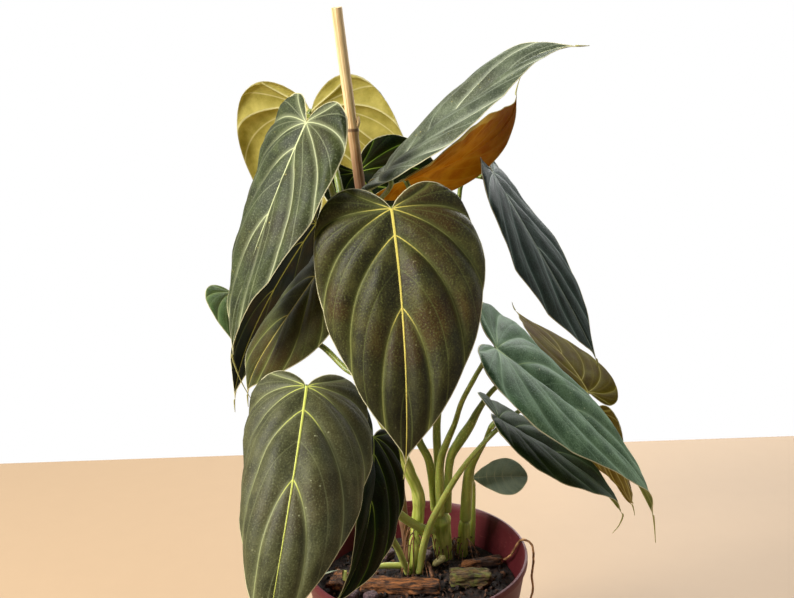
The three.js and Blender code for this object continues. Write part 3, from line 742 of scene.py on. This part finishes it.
def top_finish(name, colors, glow, sheen, warm, nap_share, painted_shade_end=0):
    """Velvet upper face: soft clouds of colour, a fine nap, pale veins with halos and a pale margin."""
    dark, light, halo, vein, midrib_color, dust = colors
    finish = Finish(f"leaf_top_{name}", 0.55, dark, Sheen_Weight=sheen, Sheen_Roughness=0.35,
                    Sheen_Tint=vein, Specular_IOR_Level=1.2 * sheen)
    main, minor, midrib, margin = finish.attribute("veins")
    along, outward = finish.attribute("place")[:2]
    flat = finish.along()
    nap = finish.noise(1300, 3, 0.7, at=flat)
    finish.stain(light, finish.noise(75, 5, 0.65, at=flat), 0.3, 0.75, 0.1, 0.8)
    finish.stain(BRONZE, finish.noise(28, 2, at=flat), 0.48, 0.66, 0, warm)
    finish.stain(halo, nap, 0.52, 0.68, 0, nap_share)
    finish.stain(dark, nap, 0.32, 0.48, 0.7, 0)
    # Painted shade: the blade is darkened towards its end, by the last number of its palette's row.
    finish.stain(dark, along, 0.4, 0.85, 0, painted_shade_end)
    specks = finish.spread(finish.cells(330, flat), 0.1, 0.16, 1, 0)
    dusty = finish.spread(finish.noise(60, 3, at=flat), 0.5, 0.7, 0, 0.7)
    finish.cover(dust, finish.math("MULTIPLY", specks, dusty))
    finish.stain(halo, main, 0.15, 2, 0.5, 0)
    finish.stain(halo, minor, 0.08, 0.4, 0.4, 0)
    vein_color = finish.mix(finish.spread(outward, 0.02, 0.3), midrib_color, vein)
    finish.stain(vein_color, main, 0.08, 0.36, 0.9, 0)
    finish.stain(midrib_color, midrib, 0.75, 1.25, 1, 0)
    finish.stain(MARGIN, margin, 0.18, 0.5, 0.9, 0)
    finish.bump(finish.spread(finish.cells(420, flat, "DISTANCE_TO_EDGE"), 0, 0.16), 0.03)
    finish.bump(nap, 0.14)
    finish.glow(finish.mix(0.6, finish.color, THROUGH), glow)
    return finish.done()


def under_finish(name, colors, glow, curled=0):
    """Matt underside with raised veins, which lets light through. A curled one has a brown tip, partly
    its own brown and partly painted shade, and a gold rolled edge on one side."""
    dark, light, vein = colors
    finish = Finish(f"leaf_under_{name}", 0.6, dark, Specular_IOR_Level=0.15)
    main, minor, midrib, margin = finish.attribute("veins")
    along, _, side = finish.attribute("place")[:3]
    flat = finish.along()
    finish.stain(light, finish.noise(90, 4, at=flat), 0.2, 0.8)
    finish.stain(light, finish.noise(1800, 2, at=flat), 0.5, 0.8, 0, 0.35)
    finish.stain(vein, minor, 0.1, 0.7, 0.6, 0)
    finish.stain(vein, main, 0.15, 0.9, 0.85, 0)
    finish.stain(vein, midrib, 0.9, 1.5, 1, 0)
    # On a curled one, brown towards its end: partly its own colour, partly painted shade from the leaf above.
    finish.stain(TIP_BROWN_AND_SHADE, along, 0.25, 0.8, 0, 0.7 * curled)
    rolled = finish.math("MULTIPLY", finish.spread(margin, 4, 5.5, curled, 0), side)
    finish.cover(ROLLED_GOLD, finish.math("MULTIPLY", rolled, finish.spread(along, 0.35, 0.7, 1, 0)))
    finish.stain(MARGIN, margin, 0.2, 0.7, 0.9, 0)
    finish.bump(finish.spread(finish.cells(420, flat, "DISTANCE_TO_EDGE"), 0, 0.14, 1, 0), 0.08)
    finish.glow(finish.color, glow)
    return finish.done()


def drip_finish():
    finish = Finish("drip_tip", 0.5, 0x78763c)
    finish.cover(0xbab46e, finish.noise(900))
    return finish.done()


TOP_FINISHES = {name: top_finish(name, *looks) for name, looks in TOPS.items()}
UNDER_FINISHES = {name: under_finish(name, *looks) for name, looks in UNDERS.items()}
DRIP_FINISH = drip_finish()


# Petioles, stems, cane and roots. Each bar has the points it goes through and its radii along them. A
# petiole starts sunk in its stem and goes on to two points below its blade.

PETIOLES = {
    "upper_left": ([(-28, -1, 261), (-31, -8, 290), (-36, -24, 320)], (1.8, 1.4)),
    "back_left": ([(-24.5, 2.5, 261), (-29, 4, 290), (-35, 20, 318), (-43, 62, 329)], (2, 1.4)),
    "front_centre": ([(-18, 1, 212), (-13, -24, 248), (-8, -52, 287)], (2.2, 1.6)),
    "top_right": ([(-21.5, -2, 261), (-18, -6, 290)], (1.8, 1.4)),
    "cupped_right": ([(11.5, 20, 122), (9, 14, 152), (4, 12, 165), (-1, 10, 190), (-3, 8, 228), (2, 3, 270)],
                     (2.2, 1.9, 1.6)),
    "hanging_right": ([(15.5, 23.8, 121), (14, 18, 152), (14, 17, 173), (17, 18, 196), (21, 20, 235),
                       (25, 28, 262), (29, 42, 283), (32, 52, 295), (38, 51, 298.5)], (2.3, 2, 1.6, 1.3)),
    "low_right": ([(14.5, 15.6, 121), (15, 6, 155), (18, 0, 168), (22, -8, 182), (25, -19, 198),
                   (29, -32, 213), (34, -46, 229)], (2.4, 1.9, 1.4, 1.3)),
    "lowest_right": ([(29, 25, 113), (31, 14, 146), (35, 6, 159), (38, -3, 170), (40, -16, 184),
                      (41, -30, 192)], (3.2, 2.8, 1.6, 1.3, 1.2)),
    "back_right": ([(18.8, 20, 121), (21, 17, 152), (26, 14, 163), (31, 12, 172), (37, 10, 184),
                    (44, 9, 194), (58, 12, 202), (76, 20, 190)], (2.2, 2.8, 1.4, 1.2)),
    "back_right_low": ([(2.5, 7, 91), (5, 3, 108), (9, -1, 123), (15, -4, 137), (24, -10, 156),
                        (33, -14, 170), (43, -14, 181), (58, -4, 188), (78, 6, 189)], (2, 1.7, 1.3, 1.2)),
    "low_left": ([(9.5, 17, 109), (5, 5, 116), (-6, -3, 128), (-17, -22, 154), (-30, -46, 191),
                  (-38, -62, 214)], (2.4, 1.8, 1.5)),
    "low_centre": ([(-5, 7.5, 90), (-9, 0, 107), (-12, -8, 119), (-15, -24, 151), (-17, -40, 181)],
                   (1.8, 1.5)),
    "mid_left": ([(-22, 0, 228), (-26, -12, 250)], (2, 1.5)),
    "inner_left": ([(-29.5, 6, 260), (-37, 20, 266)], (1.8, 1.4)),
    "far_left": ([(-22.5, 9.8, 203), (-31.4, 16, 204), (-45.9, 32, 212.5), (-62, 60, 208),
                  (-78, 82, 206), (-92, 93, 211)], (1.6, 1.2)),
    "behind_cane": ([(-24.5, 8.5, 261), (-24.5, 15, 263), (-24, 24, 265), (-24, 40, 274), (-26, 51, 287)],
                    (1.8, 1.4)),
    "young_right": ([(33, 34, 92), (34, 34, 112), (34, 31, 128)], (1.6, 1.2)),
    "young_left": ([(-6.8, 13.2, 89.5), (-21, 7, 93)], (1.8, 1.2)),
}
PETIOLE_TIP = {"below": (5, 0.45), "radii": (1.15, 1.3), "sunk": 3}
STEMS = {
    "stem_climbing": ([(-2, 12, 76), (0, 12, 98), (2, 12, 118), (3, 11, 132), (-2, 8, 150), (-9, 6, 168),
                       (-16, 6, 184), (-20, 6, 205), (-22, 6, 230), (-24, 4, 257)],
                      (3.6, 3.4, 3.2, 3, 2.6, 2.4)),
    "stem_middle": ([(18, 27, 74), (16, 27, 90), (15, 23, 105), (15, 20, 118)], (4.6, 5, 5.4, 5.8)),
    "stem_right": ([(28, 32, 74), (27, 31, 86), (28, 29, 98), (29, 27, 110)], (3, 3.4, 3.4, 3.2)),
}
CANE = {"foot": (3, 29, 12), "top": (-28.4, 4, 389), "radius": 2.6, "joints": (100, 212, 321), "step": 0.9,
        "swell": 0.5, "swell_width": 2.2, "bud": [(1.6, -0.8, 1), (2.9, -1, 3.5), (3, -1, 7)], "ring": 331.5}
ROOTS = {
    "root_stub": ([(9.5, 12.5, 89.2), (12.5, 13.5, 91), (16.5, 15, 93)], (1.6, 2.2)),
    "brown_root": ([(9, 1, 88.5), (8, 4.5, 92), (6.5, 8.5, 94)], (1.2, 0.9)),
    "aerial_root": ([(49.5, 17, 88.5), (52.5, 12, 94), (58.3, 5, 107.5), (62.6, 2, 106.5),
                     (63.6, 0, 98), (62.4, -2, 89), (63, -3, 82), (61.4, -4, 76)], (0.7, 0.6)),
}
HAIR_ROOTS = {"each": 12, "radii": (0.42, 0.22), "reach": (7, 13), "knee": 5.5}


def petiole_finish():
    """Fresh green stalk with pale flecks, lighter where it leaves its stem."""
    finish = Finish("petiole", 0.42, 0x4c5c1c, Subsurface_Weight=0.15, Subsurface_Scale=0.002)
    lines = finish.noise(1, 4, at=finish.along((60, 9, 1)))
    flecks = finish.noise(1, 2, at=finish.along((500, 14, 1)))
    finish.stain(0x8a9440, lines, 0.35, 0.7)
    finish.stain(0xc4c680, flecks, 0.6, 0.68, 0, 0.6)
    finish.stain(0xb8be62, finish.height(), 0.1, 0.19, 0.75, 0)
    finish.bump(lines, 0.25)
    return finish.done()


def stem_finish():
    """Green stem with brown scars and fine lines along it."""
    finish = Finish("stem", 0.45, 0x869238, Subsurface_Weight=0.1, Subsurface_Scale=0.002)
    lines = finish.noise(1, 4, at=finish.along((60, 12, 1)))
    finish.stain(0xc4c66c, lines, 0.35, 0.7)
    finish.stain(0x70502a, finish.noise(160), 0.62, 0.74, 0, 0.5)
    finish.bump(lines, 0.4)
    return finish.done()


def cane_finish():
    """Straw-coloured bamboo, browner downwards with painted shade, and with a dark ring at its top joint."""
    finish = Finish("cane", 0.5, 0xba8c56)
    fibres = finish.noise(1, 5, at=finish.along((14, 26, 1)))
    finish.stain(0xfae0aa, fibres, 0.3, 0.72)
    finish.stain(0x966442, finish.noise(90, at=finish.place((1, 1, 0.35))), 0.5, 0.72, 0, 0.6)
    height = finish.height()
    # Painted shade: the cane turns dark brown below 0.3 to 0.345 m, among and under the leaves.
    finish.stain(0x623e2e, height, 0.3, 0.345, 0.9, 0)
    from_ring = finish.math("ABSOLUTE", finish.math("SUBTRACT", height, CANE["ring"] * MM))
    finish.stain(0x4a2c1e, from_ring, 0.0004, 0.0012, 0.8, 0)
    finish.bump(fibres, 0.3)
    return finish.done()


def root_finish(name, dark, light):
    finish = Finish(name, 0.75, dark)
    grain = finish.noise(420, 4)
    finish.stain(light, grain, 0.35, 0.7)
    finish.bump(grain, 0.4)
    return finish.done()


def make_petioles(finish):
    for name, (points, radii) in PETIOLES.items():
        leaf = LEAVES.get(name) or YOUNG_LEAVES[name]
        ends = [tuple(leaf.turned @ Vector((0, 0, -depth)) + leaf.at) for depth in PETIOLE_TIP["below"]]
        start, second = (np.array(point, float) for point in points[:2])
        root = start - PETIOLE_TIP["sunk"] * (second - start) / np.linalg.norm(second - start)
        shape = tube_shape([root, *points, *ends], (radii[0], *radii, *PETIOLE_TIP["radii"]),
                           sides=16, spacing=1.4, rough=0.12, grain=6, round_ends=False)
        make_piece(f"stalk_{name}", shape, finish, f"petiole_{name}")


def make_stems(finish):
    for name, (points, radii) in STEMS.items():
        shape = tube_shape(points, radii, sides=28, spacing=0.8, rough=0.5, grain=7)
        make_piece(f"{name}_bark", shape, finish, name)


def make_cane(finish):
    foot, top = np.array(CANE["foot"], float), np.array(CANE["top"], float)
    length = np.linalg.norm(top - foot)
    share = np.linspace(0, 1, int(length / CANE["step"]))
    swell = sum(hump(share * length - joint, CANE["swell_width"]) for joint in CANE["joints"])
    radii = CANE["radius"] + CANE["swell"] * swell
    shaft = tube_shape([foot, (foot + top) / 2, top], radii, sides=32, spacing=CANE["step"], rough=0.12,
                       grain=5, round_ends=False)
    top_joint = foot + (top - foot) * CANE["joints"][-1] / length
    bud = tube_shape([top_joint + spot for spot in CANE["bud"]], [1.1, 0.9, 0.5], sides=12, spacing=0.6)
    cane = make_piece("cane", join_shapes([shaft, bud]), finish, "bamboo_cane")
    cane.data.set_sharp_from_angle(angle=math.radians(50))


def hair_roots_shape():
    """Fine roots that go down from the foot of each stem to the soil."""
    shapes = []
    for points, _ in STEMS.values():
        low, high = (np.array(point, float) for point in points[1:3])
        for _ in range(HAIR_ROOTS["each"]):
            start = low + random.uniform(0.2, 1) * (high - low)
            out = np.array((*random.uniform(-1, 1, 2), 0))
            out /= np.linalg.norm(out)
            end = start + random.uniform(*HAIR_ROOTS["reach"]) * out
            end[2] = soil_top(np.linalg.norm(end[:2])) + 0.3
            knee = start + HAIR_ROOTS["knee"] * out + (0, 0, random.uniform(-2, 1.5))
            shapes.append(tube_shape([start + 2 * out, knee, end], HAIR_ROOTS["radii"], sides=6, spacing=1))
    return join_shapes(shapes)


def make_roots():
    pale = root_finish("pale_root", 0x968c50, 0xcec48c)
    tan = root_finish("tan_root", 0x704c2e, 0xc69666)
    brown = root_finish("brown_root", 0x422818, 0x865c3a)
    make_piece("hair_roots", hair_roots_shape(), brown)
    for name, finish, slot in (("root_stub", pale, "root"), ("brown_root", brown, "brown_root"),
                               ("aerial_root", tan, "brown_root")):
        shape = tube_shape(*ROOTS[name], sides=12, spacing=0.5, rough=0.2, grain=1.5)
        make_piece(f"{name}_skin", shape, finish, name)


# Pot

POT = {"height": 105, "rim": 60, "foot": 42, "wall": 1.5, "floor": 2.2, "lip": 1, "lip_height": 4}
DRAIN = {"count": 6, "radius": 4, "circle": 30}
POT_SLOPE = (POT["rim"] - POT["lip"] - POT["foot"]) / (POT["height"] - POT["lip_height"])


def pot_inside(z):
    return POT["foot"] + POT_SLOPE * z - POT["wall"]


def pot_profile():
    foot, height, lip, floor = POT["foot"], POT["height"], POT["lip"], POT["floor"]
    under_lip = height - POT["lip_height"]
    edge = POT["rim"] - lip
    inner_top = pot_inside(height)
    return [
        (0, 0), (foot - 1.2, 0), (foot - 0.4, 0.25), (foot, 1),
        *((foot + POT_SLOPE * z, z) for z in np.linspace(4, under_lip - 0.8, 24)),
        (edge, under_lip - 0.1), (edge + 0.6 * lip, under_lip), (edge + lip, under_lip + 0.5),
        (edge + lip, height - 0.7), (edge + 0.7 * lip, height - 0.15), (edge, height),
        (inner_top + 0.5, height), (inner_top, height - 0.5),
        *((pot_inside(z), z) for z in np.linspace(under_lip, floor + 1.5, 24)),
        (pot_inside(floor) - 0.6, floor + 0.3), (pot_inside(floor) - 2, floor), (0, floor),
    ]


def pot_finish():
    """Scuffed plastic, a little uneven in colour."""
    finish = Finish("pot", 0.5, 0x501d21, Specular_IOR_Level=0.3)
    scuffs = finish.noise(220, 4, at=finish.place((1, 1, 8)))
    finish.stain(0x62282c, finish.noise(40, 4), 0.35, 0.7)
    finish.stain(0xbe786e, scuffs, 0.62, 0.75, 0, 0.3)
    finish.bump(scuffs, 0.05)
    return finish.done()


def make_pot(finish):
    pot = make_piece("nursery_pot", turned_shape(pot_profile(), 144), finish, "pot")
    for turn in np.arange(DRAIN["count"]) * 2 * math.pi / DRAIN["count"]:
        at = Vector((DRAIN["circle"] * math.cos(turn), DRAIN["circle"] * math.sin(turn), 1)) * MM
        mesh = bpy.data.meshes.new("drill")
        work = bmesh.new()
        bmesh.ops.create_cone(work, cap_ends=True, segments=32, radius1=DRAIN["radius"] * MM,
                              radius2=DRAIN["radius"] * MM, depth=12 * MM, matrix=Matrix.Translation(at))
        work.to_mesh(mesh)
        work.free()
        drill = add_object("drill", mesh)
        cut = pot.modifiers.new("drain", "BOOLEAN")
        cut.object = drill
        cut.solver = "EXACT"
        bpy.context.view_layer.update()
        drilled = bpy.data.meshes.new_from_object(pot.evaluated_get(bpy.context.evaluated_depsgraph_get()))
        pot.modifiers.clear()
        pot.data = drilled
        bpy.data.objects.remove(drill)
    pot.data.set_sharp_from_angle(angle=math.radians(35))


# Soil and what lies on it

SOIL = {"edge": 84, "shoulder": 86.5, "shoulder_share": 0.6, "mound": 87, "gap": 0.3}
SOIL_INSIDE = pot_inside(SOIL["edge"]) - SOIL["gap"]
CLODS = ((1.6, 8), (1.1, 3.1), (0.7, 1.3))
# Each chunk's length, width and height, how far it is turned in degrees, and its slot.
CHUNKS = {
    "bark_front": ((42, 9, 6), -6, "bark"),
    "bark_strip": ((23, 5, 3.6), 12, "bark"),
    "bark_left": ((15, 8, 5), 70, "bark"),
    "mossy_log": ((22, 9, 8), -3, "mossy_log"),
    "pebble_front": ((8, 7, 6), 20, "pebble"),
    "pebble_left": ((7, 6, 5.5), 70, "pebble"),
    "pebble_middle": ((7.5, 7, 6), -30, "pebble"),
    "pebble_back": ((7, 6, 5.5), 40, "pebble"),
}
CRUMBS = {"count": 420, "length": (1.2, 4.2), "width": (0.6, 1), "height": (0.4, 0.9), "lift": (-0.6, 0.9)}
FIBRES = {"count": 90, "widest": 47, "lift": 0.8, "reach": (7, 7, 1.6), "bend": (2, 2, 1),
          "radii": (0.22, 0.16)}


def soil_top(radius):
    return np.interp(radius / SOIL_INSIDE, (0, SOIL["shoulder_share"], 1),
                     (SOIL["mound"], SOIL["shoulder"], SOIL["edge"]))


def soil_shape():
    low = POT["floor"] + SOIL["gap"]
    rings = [(0, low)]
    rings += [(pot_inside(z) - SOIL["gap"], z) for z in np.linspace(low, SOIL["edge"], 20)]
    rings += [(radius, soil_top(radius)) for radius in np.linspace(SOIL_INSIDE, 0, 70)[1:]]
    vertices, faces, mapped = turned_shape(rings, 200)
    for vertex in vertices:
        if vertex[2] > SOIL["edge"] - 0.5 and math.hypot(*vertex[:2]) < SOIL_INSIDE - 0.5:
            vertex[2] += sum(depth * noise.noise(Vector(vertex) / width) for depth, width in CLODS) - 0.6
    return vertices, faces, mapped


def soil_spot(widest=50.0):
    radius = widest * math.sqrt(random.uniform(0, 1))
    turn = random.uniform(0, 2 * math.pi)
    return np.array((radius * math.cos(turn), radius * math.sin(turn), soil_top(radius)))


def crumbs_shape():
    shapes = []
    for k in range(CRUMBS["count"]):
        length, width, height = (random.uniform(*CRUMBS[side]) for side in ("length", "width", "height"))
        size = length * np.array((1, width, height))
        at = soil_spot() + (0, 0, random.uniform(*CRUMBS["lift"]))
        turn = np.array(Euler(random.uniform(0, 6, 3).tolist()).to_matrix())
        vertices, faces, mapped = ball_shape(1)
        push = np.array([noise.noise(Vector(vertex) * 1.3 + Vector((k * 3.7, 0, 0))) for vertex in vertices])
        vertices = vertices * (1 + 0.5 * push)[:, None] * size / 2
        shapes.append((vertices @ turn.T + at, faces, mapped))
    return join_shapes(shapes)


def fibres_shape():
    shapes = []
    for _ in range(FIBRES["count"]):
        start = soil_spot(FIBRES["widest"]) + (0, 0, FIBRES["lift"])
        way = random.uniform(-1, 1, 3) * FIBRES["reach"]
        bend = random.uniform(-1, 1, 3) * FIBRES["bend"]
        shapes.append(tube_shape([start, start + way / 2 + bend, start + way], FIBRES["radii"], sides=6))
    return join_shapes(shapes)


def chunk_shape(node, chunk, seed):
    """A rough lump that fills its node's place. A pebble is round, and bark is squared off and ribbed."""
    size, turn, slot = chunk
    power, depth, stretch = (1, 0.25, 1) if slot == "pebble" else (0.62, 1.5, (0.3, 1, 1))
    low, high = (np.array(corner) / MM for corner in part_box(node))
    vertices, faces, mapped = ball_shape(5)
    squared = np.sign(vertices) * np.abs(vertices) ** power
    squared /= np.linalg.norm(np.abs(squared) ** (2 / power), axis=1)[:, None] ** (power / 2) + 1e-9
    solid = squared * np.array(size) / 2
    for k, spot in enumerate(solid):
        place = Vector(spot * stretch)
        push = noise.noise(place / 2.2 + Vector((seed, 0, 0))) + 0.5 * noise.noise(place / 0.9)
        solid[k] += vertices[k] * depth * push
    spin = np.array(Matrix.Rotation(math.radians(turn), 3, "Z"))
    return solid @ spin.T + (low + high) / 2, faces, mapped


def soil_finish():
    finish = Finish("soil", 0.85, 0x0d0805)
    grains = finish.noise(700, 5)
    finish.stain(0x342014, grains, 0.35, 0.75)
    finish.stain(0x3c261a, finish.noise(110), 0.55, 0.75, 0, 0.5)
    finish.bump(grains, 0.8)
    return finish.done()


def crumb_finish():
    finish = Finish("crumbs", 0.85, 0x120c09)
    grains = finish.noise(1200, 4)
    finish.stain(0x543824, finish.noise(260, 1), 0.42, 0.62)
    finish.stain(0x785a3e, grains, 0.5, 0.8, 0, 0.3)
    finish.bump(grains, 0.4)
    return finish.done()


def bark_finish(name, dark, light, moss=None):
    """Fibrous bark with darker rotten patches, and with moss where it has a colour."""
    finish = Finish(name, 0.85, dark)
    fibres = finish.noise(520, 8, 0.75, at=finish.place((0.15, 1, 1)))
    finish.stain(light, fibres, 0.38, 0.62)
    rotten = tuple(0.7 * part for part in linear(dark))
    finish.stain(rotten, finish.noise(160, 4, at=finish.place((0.5, 1, 1))), 0.48, 0.62, 0, 0.85)
    if moss:
        finish.stain(moss, finish.noise(300, 4), 0.44, 0.64, 0, 0.7)
    finish.bump(fibres, 1)
    return finish.done()


def pebble_finish():
    finish = Finish("pebble", 0.7, 0x2c1e22)
    pores = finish.noise(900, 4)
    finish.stain(0x624a4e, pores, 0.35, 0.7)
    finish.stain(0x4e362e, finish.noise(220, 2), 0.5, 0.7, 0, 0.5)
    finish.bump(pores, 0.5)
    return finish.done()


def make_soil():
    make_piece("potting_soil", soil_shape(), soil_finish(), "soil")
    crumbs = crumb_finish()
    make_piece("soil_crumbs", crumbs_shape(), crumbs, smooth=False)
    make_piece("soil_fibres", fibres_shape(), crumbs)
    finishes = {
        "bark": bark_finish("bark", 0x22140b, 0x986034),
        "mossy_log": bark_finish("mossy_log", 0x281e12, 0x705834, 0x626628),
        "pebble": pebble_finish(),
    }
    for seed, (node, chunk) in enumerate(CHUNKS.items()):
        slot = chunk[2]
        make_piece(f"{node}_piece", chunk_shape(node, chunk, seed * 5), finishes[slot], node)


# Tie

TIE = {"height": 196, "rise": 3, "radius": 0.6, "reach": 4.2, "stem": (-19, 6), "cane": (-12.3, 16.8),
       "loose_start": [(-21, -9, 188), (-23.5, -3, 194)], "loose_end": [(-26, -2, 202)]}
TIE_STEPS = 24


def tie_finish():
    finish = Finish("tie", 0.45, 0x14544e)
    grain = finish.noise(500)
    finish.cover(0x24786c, grain)
    finish.bump(grain, 0.1)
    return finish.done()


def make_tie(finish):
    """One turn of wire round the cane and the climbing stem, with a loose tail at each end."""
    stem, cane = np.array(TIE["stem"], float), np.array(TIE["cane"], float)
    away = (cane - stem) / np.linalg.norm(cane - stem)
    begin = math.atan2(-away[1], -away[0])
    loop = []
    for share in np.linspace(0, 1, TIE_STEPS + 1):
        turn = begin + 2 * math.pi * share
        out = np.array((math.cos(turn), math.sin(turn)))
        spot = stem + soft_step(-0.35, 0.35, out @ away) * (cane - stem) + TIE["reach"] * out
        loop.append((*spot, TIE["height"] + TIE["rise"] * (share - 0.5)))
    points = [*TIE["loose_start"], *loop, *TIE["loose_end"]]
    shape = tube_shape(points, [TIE["radius"]] * 2, sides=10, spacing=0.5)
    make_piece("wire_tie", shape, finish, "plant_tie")


# The plant

for number, (name, leaf) in enumerate(LEAVES.items()):
    make_leaf(name, leaf, HEART, 7.3 * number)
for number, (name, leaf) in enumerate(YOUNG_LEAVES.items()):
    make_leaf(name, leaf, OVAL, 91 + 7.3 * number)
make_petioles(petiole_finish())
make_stems(stem_finish())
make_cane(cane_finish())
make_roots()
make_pot(pot_finish())
make_soil()
make_tie(tie_finish())

# The stage

make_floor()
make_world()
make_camera()
for name, light in LIGHTS.items():
    make_light(name, **light)
